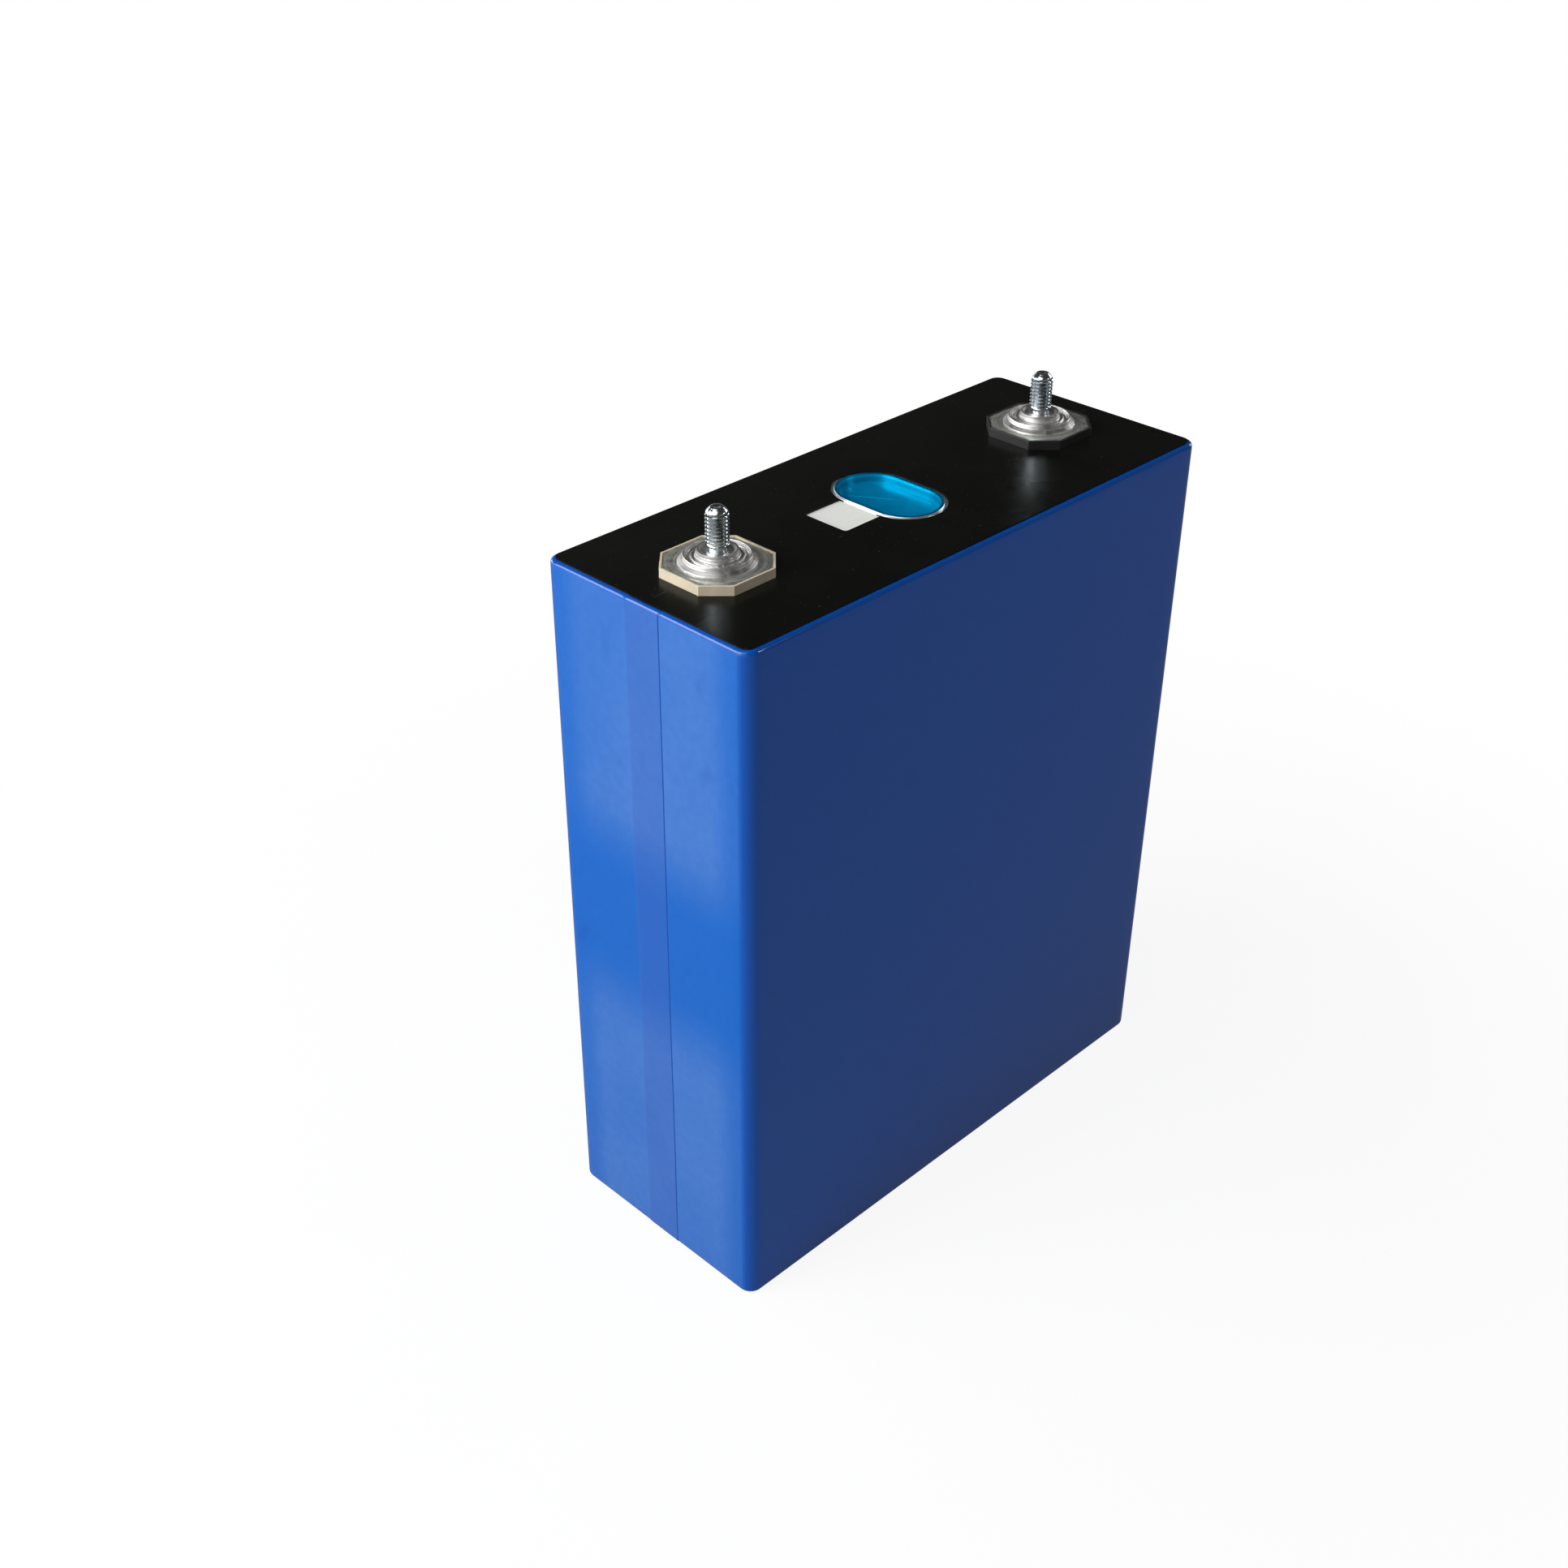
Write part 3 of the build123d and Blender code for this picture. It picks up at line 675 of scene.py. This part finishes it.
def make_wrap_film():
    """The film as a closed thin shell, open above and below like the wrapped sleeve."""
    outer, inner = film_section(0.0), film_section(film_thickness)
    rings = [
        [
            film_point(column, inset, z, outward, upward, is_outer)
            for column in plan_columns(inset)
        ]
        for rows, is_outer in ((outer, True), (inner[::-1], False))
        for inset, z, outward, upward in rows
    ]
    points, faces = closed_grid(rings)
    make_piece(
        "film_wrap", points, faces, MATERIALS["blue_film"], "blue_film", "wrap_film",
        smooth_angle=50,
    )


# --- terminals --------------------------------------------------------------
TURNS = 128
EDGE_STEPS = TURNS // 8
PLATE_HALF = plate_high[0] - terminal_x
INSULATOR_HALF, INSULATOR_CUT = 13.0 * MM, 6.1 * MM
PLATE_CUT = INSULATOR_CUT - (2 - math.sqrt(2)) * (INSULATOR_HALF - PLATE_HALF)
PLATE_BEVEL = 0.22 * MM
PLATE_HOLE = 5.02 * MM
FILLET_START, FILLET_END = 9.85 * MM, 10.75 * MM  # laser weld between plate and base
FILLET_HEIGHT = 0.13 * MM
MARK_RADIUS, MARK_DEPTH = 11.35 * MM, 0.06 * MM  # shallow turned step in the plate
MARK_EDGE = (MARK_RADIUS - 0.1 * MM, MARK_RADIUS + 0.1 * MM)
INSULATOR_BEVEL, SHEET_BEVEL = 0.22 * MM, 0.07 * MM


def turned(x, radius, turn, z):
    return (x + radius * math.cos(turn), radius * math.sin(turn), z)


def octagon_columns():
    """Turns round the axis that meet the plate's corners, evenly spread along its edges."""
    half, cut = PLATE_HALF, PLATE_CUT
    corners = [
        (half, half - cut), (half - cut, half), (cut - half, half), (-half, half - cut),
        (-half, cut - half), (cut - half, -half), (half - cut, -half), (half, cut - half),
    ]
    turns = []
    for start, end in zip(corners, corners[1:] + corners[:1]):
        turns += [math.atan2(y, x) for x, y in divide(start, end, EDGE_STEPS)]
    return turns


def octagon_radius(turn, inset):
    """Distance from the axis to the plate's edge, moved in by an inset."""
    along, across = abs(math.cos(turn)), abs(math.sin(turn))
    flat = (PLATE_HALF - inset) / max(along, across)
    diagonal = (2 * PLATE_HALF - PLATE_CUT - inset * math.sqrt(2)) / (along + across)
    return min(flat, diagonal)


def weld_fillet(x, radius, turn):
    """Height of the rippled laser weld on the plate."""
    across = (radius - FILLET_START) / (FILLET_END - FILLET_START)
    if not 0 < across < 1:
        return 0.0
    ripple = 0.7 + 0.3 * math.cos(turn * 62 + 9 * (across - 0.5) ** 2)
    grain = rough(x + radius * math.cos(turn), radius * math.sin(turn), 0, 0.7 * MM)
    return FILLET_HEIGHT * math.sin(math.pi * across) * (ripple + 0.5 * grain)


def make_terminal_plate(name, x):
    """Octagonal plate with a bevelled edge, a shallow turned step and the weld's fillet."""
    bottom, top = plate_low[2], plate_high[2]
    radii = [PLATE_HOLE + i * 0.8 * MM for i in range(6)]
    radii += [FILLET_START + i * (FILLET_END - FILLET_START) / 8 for i in range(9)]
    radii += [MARK_RADIUS - 0.25 * MM, *MARK_EDGE]
    loops = []
    for turn in octagon_columns():
        edge = octagon_radius(turn, PLATE_BEVEL)
        loop = [turned(x, PLATE_HOLE, turn, bottom)]
        for radius in radii:
            height = top - MARK_DEPTH + weld_fillet(x, radius, turn) * 0.9
            height += MARK_DEPTH * smoothstep(radius, *MARK_EDGE)
            loop.append(turned(x, min(radius, edge - 0.2 * MM), turn, height))
        loop += [
            turned(x, edge, turn, top),
            turned(x, octagon_radius(turn, PLATE_BEVEL * 0.3), turn, top - PLATE_BEVEL * 0.3),
            turned(x, octagon_radius(turn, 0), turn, top - PLATE_BEVEL),
            turned(x, octagon_radius(turn, 0), turn, bottom),
        ]
        loops.append(loop)
    points, faces = closed_grid(loops)
    make_piece(
        f"{name}_plate", points, faces, MATERIALS["terminal_aluminium"], "terminal_aluminium",
        f"{name}_terminal_plate",
    )


def base_outline():
    """Section of the stud's welded base, as (radius, height above the plate)."""
    hub = base_high[2] - base_low[2]
    corners = [
        (9.90, 0.0), (9.90, 0.30), (8.95, 1.05), (8.80, 1.10), (8.55, 2.20), (8.20, 2.20),
        (7.85, 0.95), (7.30, 0.95), (6.50, 1.75), (5.75, 1.70), (5.50, 1.90), (5.40, 2.60),
        (5.25, 2.65), (5.20, hub / MM), (4.75, hub / MM), (4.10, hub / MM - 0.4),
        (2.60, hub / MM - 0.5), (2.60, 0.8), (3.52, 0.8), (3.52, 0.0),
    ]
    radii = [0.1, 0.3, 0.08, 0.15, 0.12, 0.3, 0.15, 0.25, 0.25, 0.1, 0.1, 0.06, 0.06, 0.12,
             0.12, 0.3, 0.0, 0.0, 0.0, 0.0]
    line = round_corners(corners, radii, 4)
    return [(r * MM, z * MM) for r, z in densify(line, 0.3)]


BEAD_INNER, BEAD_OUTER = 5.8 * MM, 8.4 * MM
WEAR_DEPTH, WEAR_FROM = 0.02 * MM, 0.2 * MM  # unevenness, and the height it starts at


def weld_bead(x, radius, turn):
    """Unevenness of the weld bead in the base's valley."""
    weight = bell(radius - 6.7 * MM, 0.8 * MM)
    grain = rough(x + radius * math.cos(turn), radius * math.sin(turn), 0.4, 0.85 * MM)
    drift = noise.noise(Vector((math.cos(turn), math.sin(turn), x * 40)))
    ripple = math.cos(turn * 54 + 14 * drift)
    return weight * (0.14 * grain + 0.05 * ripple) * MM


def make_stud_base(name, x):
    """Welded base, turned from its outline, with a rough weld bead and a little wear."""
    outline = base_outline()
    bottom = base_low[2]
    loops = []
    for i in range(TURNS):
        turn = 2 * math.pi * i / TURNS
        loop = []
        for radius, height in outline:
            lift = 0.0
            if height > WEAR_FROM:
                px, py, _ = turned(x, radius, turn, 0)
                lift = WEAR_DEPTH * rough(px, py, height, MM)
                if BEAD_INNER < radius < BEAD_OUTER:
                    lift += weld_bead(x, radius, turn)
            loop.append(turned(x, radius, turn, bottom + height + lift))
        loops.append(loop)
    points, faces = closed_grid(loops)
    make_piece(
        f"{name}_base", points, faces, MATERIALS["base_aluminium"], "base_aluminium",
        f"{name}_stud_base",
    )


THREAD_STEPS = 14  # rows in one pitch
STUD_TURNS = 64


def stud_radius_at(z, phase, start, taper, top, full):
    """Radius of the threaded part: it runs out at the neck and at the domed tip."""
    if z <= start:
        return NECK_RADIUS
    crest = 1 - abs(2 * (phase % 1) - 1)
    flank = min(max((crest - ROOT_FLAT) / FLANK_SHARE, 0.0), 1.0)
    thread = full - THREAD_DEPTH * (1 - flank)
    run_in = smoothstep(z, start, start + THREAD_RUNOUT)
    radius = NECK_RADIUS + (thread - NECK_RADIUS) * run_in
    if z > taper:
        share = (z - taper) / (top - taper)
        radius = min(radius, full - (full - TIP_RADIUS) * share ** TIP_ROUNDING)
    return radius


def make_stud(name, x):
    """Threaded stud: a helical grid whose rows rise by one pitch in a turn."""
    full = STUD_RADIUS
    bottom, top = stud_low[2], stud_high[2]
    start = base_high[2] + THREAD_START
    end = top - TIP_EDGE
    taper = top - TIP_LENGTH
    foot = [(0.0, bottom), (FOOT_RADIUS, bottom), (FOOT_RADIUS, bottom + FOOT_HEIGHT),
            (NECK_RADIUS, bottom + FOOT_HEIGHT), (NECK_RADIUS, start)]
    tip = [(TIP_RADIUS, end), (TIP_RADIUS - 0.08 * MM, top - 0.05 * MM),
           (TIP_RADIUS - 0.25 * MM, top), (DIMPLE_RADIUS, top),
           (DIMPLE_RADIUS * 0.5, top - DIMPLE_DEPTH * 0.6), (0.0, top - DIMPLE_DEPTH)]
    rows = math.ceil((end - start) / THREAD_PITCH * THREAD_STEPS) + 2 * THREAD_STEPS
    columns = []
    for j in range(STUD_TURNS):
        turn = 2 * math.pi * j / STUD_TURNS
        column = [turned(x, r, turn, z) for r, z in foot]
        for i in range(rows):
            phase = i / THREAD_STEPS
            z = start + THREAD_PITCH * (phase - 1 + j / STUD_TURNS)
            z = min(max(z, start), end)
            radius = stud_radius_at(z, phase, start, taper, end, full)
            radius = TIP_RADIUS if z >= end else radius
            column.append(turned(x, radius, turn, z))
        columns.append(column + [turned(x, r, turn, z) for r, z in tip])
    count = len(columns[0])
    first, last = len(foot), len(foot) + rows - 1
    points = [point for column in columns for point in column]
    faces = []
    for j in range(STUD_TURNS):
        after = (j + 1) % STUD_TURNS
        shift = 0 if after else THREAD_STEPS
        for k in range(count - 1):
            low, high = k, k + 1
            if first <= k:
                low = min(k + shift, last) if k <= last else k
            if first <= k + 1:
                high = min(k + 1 + shift, last) if k + 1 <= last else k + 1
            faces.append((
                j * count + k, after * count + low, after * count + high, j * count + k + 1
            ))
    make_piece(
        f"{name}_threaded_stud", points, faces, MATERIALS["zinc_steel"], "zinc_steel",
        f"{name}_stud", smooth_angle=50,
    )


# --- small marks ------------------------------------------------------------
def make_bars(name, bars, z, height, material, slot):
    """Low rounded bars lying on a surface, each from one point to another, with a width."""
    points, faces = [], []
    for start, end, width in bars:
        start, end = Vector(start), Vector(end)
        along = (end - start).normalized()
        angle = math.atan2(along.y, along.x)
        rings = []
        for shrink, level in ((0.0, -height), (0.0, height * 0.5), (width * 0.2, height)):
            radius = width / 2 - shrink
            ring = []
            for centre, turn in ((start, angle + math.pi / 2), (end, angle - math.pi / 2)):
                for i in range(7):
                    a = turn + math.pi * i / 6
                    ring.append((
                        centre.x + radius * math.cos(a), centre.y + radius * math.sin(a),
                        z + level,
                    ))
            rings.append(ring)
        base, count = len(points), len(rings[0])
        points += [point for ring in rings for point in ring]
        for r in range(len(rings) - 1):
            for k in range(count):
                m = (k + 1) % count
                low, high = base + r * count, base + (r + 1) * count
                faces.append((low + k, low + m, high + m, high + k))
        faces.append(tuple(base + k for k in reversed(range(count))))
        faces.append(tuple(base + (len(rings) - 1) * count + k for k in range(count)))
    make_piece(name, points, faces, material, slot)


def make_marks():
    """A minus and a plus sign on the sheet, outside the terminals."""
    glossy = finish_of(
        "mark_print", moulded((0.006, 0.006, 0.006), (0.012, 0.012, 0.012), 0.16)
    )
    z, thin = sheet_high[2], 0.02 * MM
    minus_x, plus_x, half, width = -80.9 * MM, 80.6 * MM, 1.9 * MM, 0.34 * MM
    make_bars(
        "minus_mark", [((minus_x - half, 0), (minus_x + half, 0), width)], z, thin, glossy,
        "black_sheet",
    )
    plus = [((plus_x - half, 0), (plus_x + half, 0), width),
            ((plus_x, -half), (plus_x, half), width)]
    make_bars("plus_mark", plus, z, thin, glossy, "black_sheet")


def make_score_line():
    """The straight score across the vent's membrane, with its raised lip painted near-white as a
    painted glint.
    """
    start, end = (2.1 * MM, 0.2 * MM), (-4.35 * MM, 10.1 * MM)
    # The lip's near-white colour is a painted glint.
    painted_glint = finish_of("score_glint_paint", moulded((0.92, 0.94, 0.94), (0.80, 0.82, 0.82), 0.35))
    make_bars(
        "vent_score_line", [(start, end, 0.34 * MM)], membrane_high[2], 0.06 * MM, painted_glint,
        "vent_foil",
    )


# --- studio -----------------------------------------------------------------
CAMERA_PLACE = (-361.4 * MM, -317.7 * MM, 419.7 * MM)
CAMERA_TURN = (-43.69, 32.84, -0.63)  # azimuth, elevation and roll, degrees
CAMERA_LENS = 45.73
CAMERA_SHIFT = (0.0333, 0.0109)


def make_camera():
    azimuth, elevation, roll = (math.radians(a) for a in CAMERA_TURN)
    back = Vector((
        math.sin(azimuth) * math.cos(elevation),
        -math.cos(azimuth) * math.cos(elevation),
        math.sin(elevation),
    ))
    right = (-back).cross(Vector((0, 0, 1))).normalized()
    up = back.cross(right)
    level, tilted = math.cos(roll), math.sin(roll)
    side = right * level + up * tilted
    top = up * level - right * tilted
    camera = bpy.data.objects.new("camera", bpy.data.cameras.new("camera"))
    camera.data.lens = CAMERA_LENS
    camera.data.shift_x, camera.data.shift_y = CAMERA_SHIFT
    turn = Matrix((side, top, back)).transposed().to_4x4()
    camera.matrix_world = Matrix.Translation(CAMERA_PLACE) @ turn
    bpy.context.scene.collection.objects.link(camera)
    bpy.context.scene.camera = camera


def make_lamp(name, direction, distance, size, power):
    """A soft rectangular lamp that faces the cell's middle."""
    light = bpy.data.lights.new(name, "AREA")
    light.shape = "RECTANGLE"
    light.size, light.size_y = size
    light.energy = power
    lamp = bpy.data.objects.new(name, light)
    aim = Vector(direction).normalized()
    middle = (cad_low + cad_high) / 2
    turn = aim.to_track_quat("Z", "Y").to_matrix().to_4x4()
    lamp.matrix_world = Matrix.Translation(middle + aim * distance) @ turn
    lamp.visible_camera = False
    bpy.context.scene.collection.objects.link(lamp)


FLOOR_REACH = 8.0
SHADOW_SHARE = 0.9  # how much of the floor near the cell is plain white backdrop
SHADOW_FADE = (0.14, 0.38)  # distances over which the floor turns into backdrop


def make_floor():
    """Pale floor that keeps the soft shadow near the cell and fades into the backdrop."""
    mesh = bpy.data.meshes.new("floor")
    reach = FLOOR_REACH
    corners = [(-reach, -reach, 0), (reach, -reach, 0), (reach, reach, 0), (-reach, reach, 0)]
    mesh.from_pydata(corners, [], [(0, 1, 2, 3)])
    floor = bpy.data.objects.new("floor", mesh)
    material = bpy.data.materials.new("pale_floor")
    material.use_nodes = True
    tree = material.node_tree
    tree.nodes.remove(tree.nodes["Principled BSDF"])
    tone = between(tree, rays_to_backdrop(tree), (0.62, 0.62, 0.62), (0.88, 0.88, 0.88))
    matte = add(tree, "ShaderNodeBsdfDiffuse", {"Color": tone})
    white = add(tree, "ShaderNodeEmission", {"Strength": 1.0})
    away = add(tree, "ShaderNodeVectorMath", {0: place(tree)}, operation="LENGTH")
    share = spread(tree, away.outputs["Value"], SHADOW_SHARE, 1.0, *SHADOW_FADE)
    seen = calculate(tree, "MULTIPLY", rays_to_backdrop(tree), share)
    mixed = add(tree, "ShaderNodeMixShader", {0: seen, 1: matte.outputs[0], 2: white.outputs[0]})
    tree.links.new(mixed.outputs[0], tree.nodes["Material Output"].inputs["Surface"])
    mesh.materials.append(material)
    bpy.context.scene.collection.objects.link(floor)
    floor.visible_glossy = False


def rays_to_backdrop(tree):
    """1 for the rays that see the backdrop: from the camera, in gloss and through glass."""
    path = add(tree, "ShaderNodeLightPath")
    seen = calculate(tree, "MAXIMUM", path.outputs["Is Camera Ray"], path.outputs["Is Glossy Ray"])
    return calculate(tree, "MAXIMUM", seen, path.outputs["Is Transmission Ray"])


AMBIENT = 0.0624
TENT_LIGHT, TENT_DARK, TENT_TOP, TENT_FLOOR = 0.8, 0.08, 0.032, 0.224
TENT_BRIGHT_SIDE = (-0.72, 0.69, 0.0)


def make_world():
    """White backdrop. In reflections it is a tent that dims away from its bright side."""
    world = bpy.data.worlds.new("studio")
    world.use_nodes = True
    tree = world.node_tree
    tree.nodes.clear()
    direction = add(tree, "ShaderNodeTexCoord").outputs["Generated"]
    parts = add(tree, "ShaderNodeSeparateXYZ", {0: direction})
    bright_side = add(
        tree, "ShaderNodeVectorMath", {0: direction, 1: TENT_BRIGHT_SIDE}, operation="DOT_PRODUCT"
    )
    wall = spread(tree, bright_side.outputs["Value"], TENT_DARK, TENT_LIGHT, -0.2, 0.45)
    tent = add(tree, "ShaderNodeMix", {
        0: spread(tree, parts.outputs[2], 0, 1, 0.12, 0.42), 2: wall, 3: TENT_TOP,
    })
    tent = add(tree, "ShaderNodeMix", {
        0: spread(tree, parts.outputs[2], 1, 0, -0.4, -0.1), 2: tent.outputs[0], 3: TENT_FLOOR,
    })
    path = add(tree, "ShaderNodeLightPath")
    behind = add(tree, "ShaderNodeMix", {
        0: path.outputs["Is Camera Ray"], 2: tent.outputs[0], 3: 1.0,
    })
    strength = add(tree, "ShaderNodeMix", {
        0: rays_to_backdrop(tree), 2: AMBIENT, 3: behind.outputs[0],
    })
    sky = add(tree, "ShaderNodeBackground", {
        "Color": (1, 1, 1, 1), "Strength": strength.outputs[0],
    })
    output = add(tree, "ShaderNodeOutputWorld")
    tree.links.new(sky.outputs[0], output.inputs[0])
    bpy.context.scene.world = world


def make_studio():
    make_world()
    make_floor()
    # Each lamp's name, direction, distance, size and power.
    make_lamp("key_lamp", (-0.93, 0.40, 0.55), 1.2, (1.2, 0.75), 18.5)
    make_lamp("top_lamp", (-0.62, -0.05, 0.80), 1.1, (0.8, 0.8), 3.2)
    make_lamp("side_lamp", (0.50, -0.86, 0.55), 0.95, (0.07, 0.22), 1.0)
    make_lamp("rear_lamp", (-0.25, 1.0, 0.22), 1.2, (0.7, 0.4), 4.0)
    make_lamp("end_lamp", (1.0, -0.12, 0.25), 1.2, (0.4, 0.7), 3.0)
    bpy.context.scene.view_settings.view_transform = "Standard"


# --- making -----------------------------------------------------------------
make_camera()
make_studio()
finish_cad_nodes()
make_wrap_film()
for side_name, side in SIDES.items():
    make_terminal_plate(side_name, side * terminal_x)
    make_stud_base(side_name, side * terminal_x)
    make_stud(side_name, side * terminal_x)
    soften_edges(f"{side_name}_terminal_insulator", INSULATOR_BEVEL)
soften_edges("top_sheet", SHEET_BEVEL)
make_marks()
make_score_line()
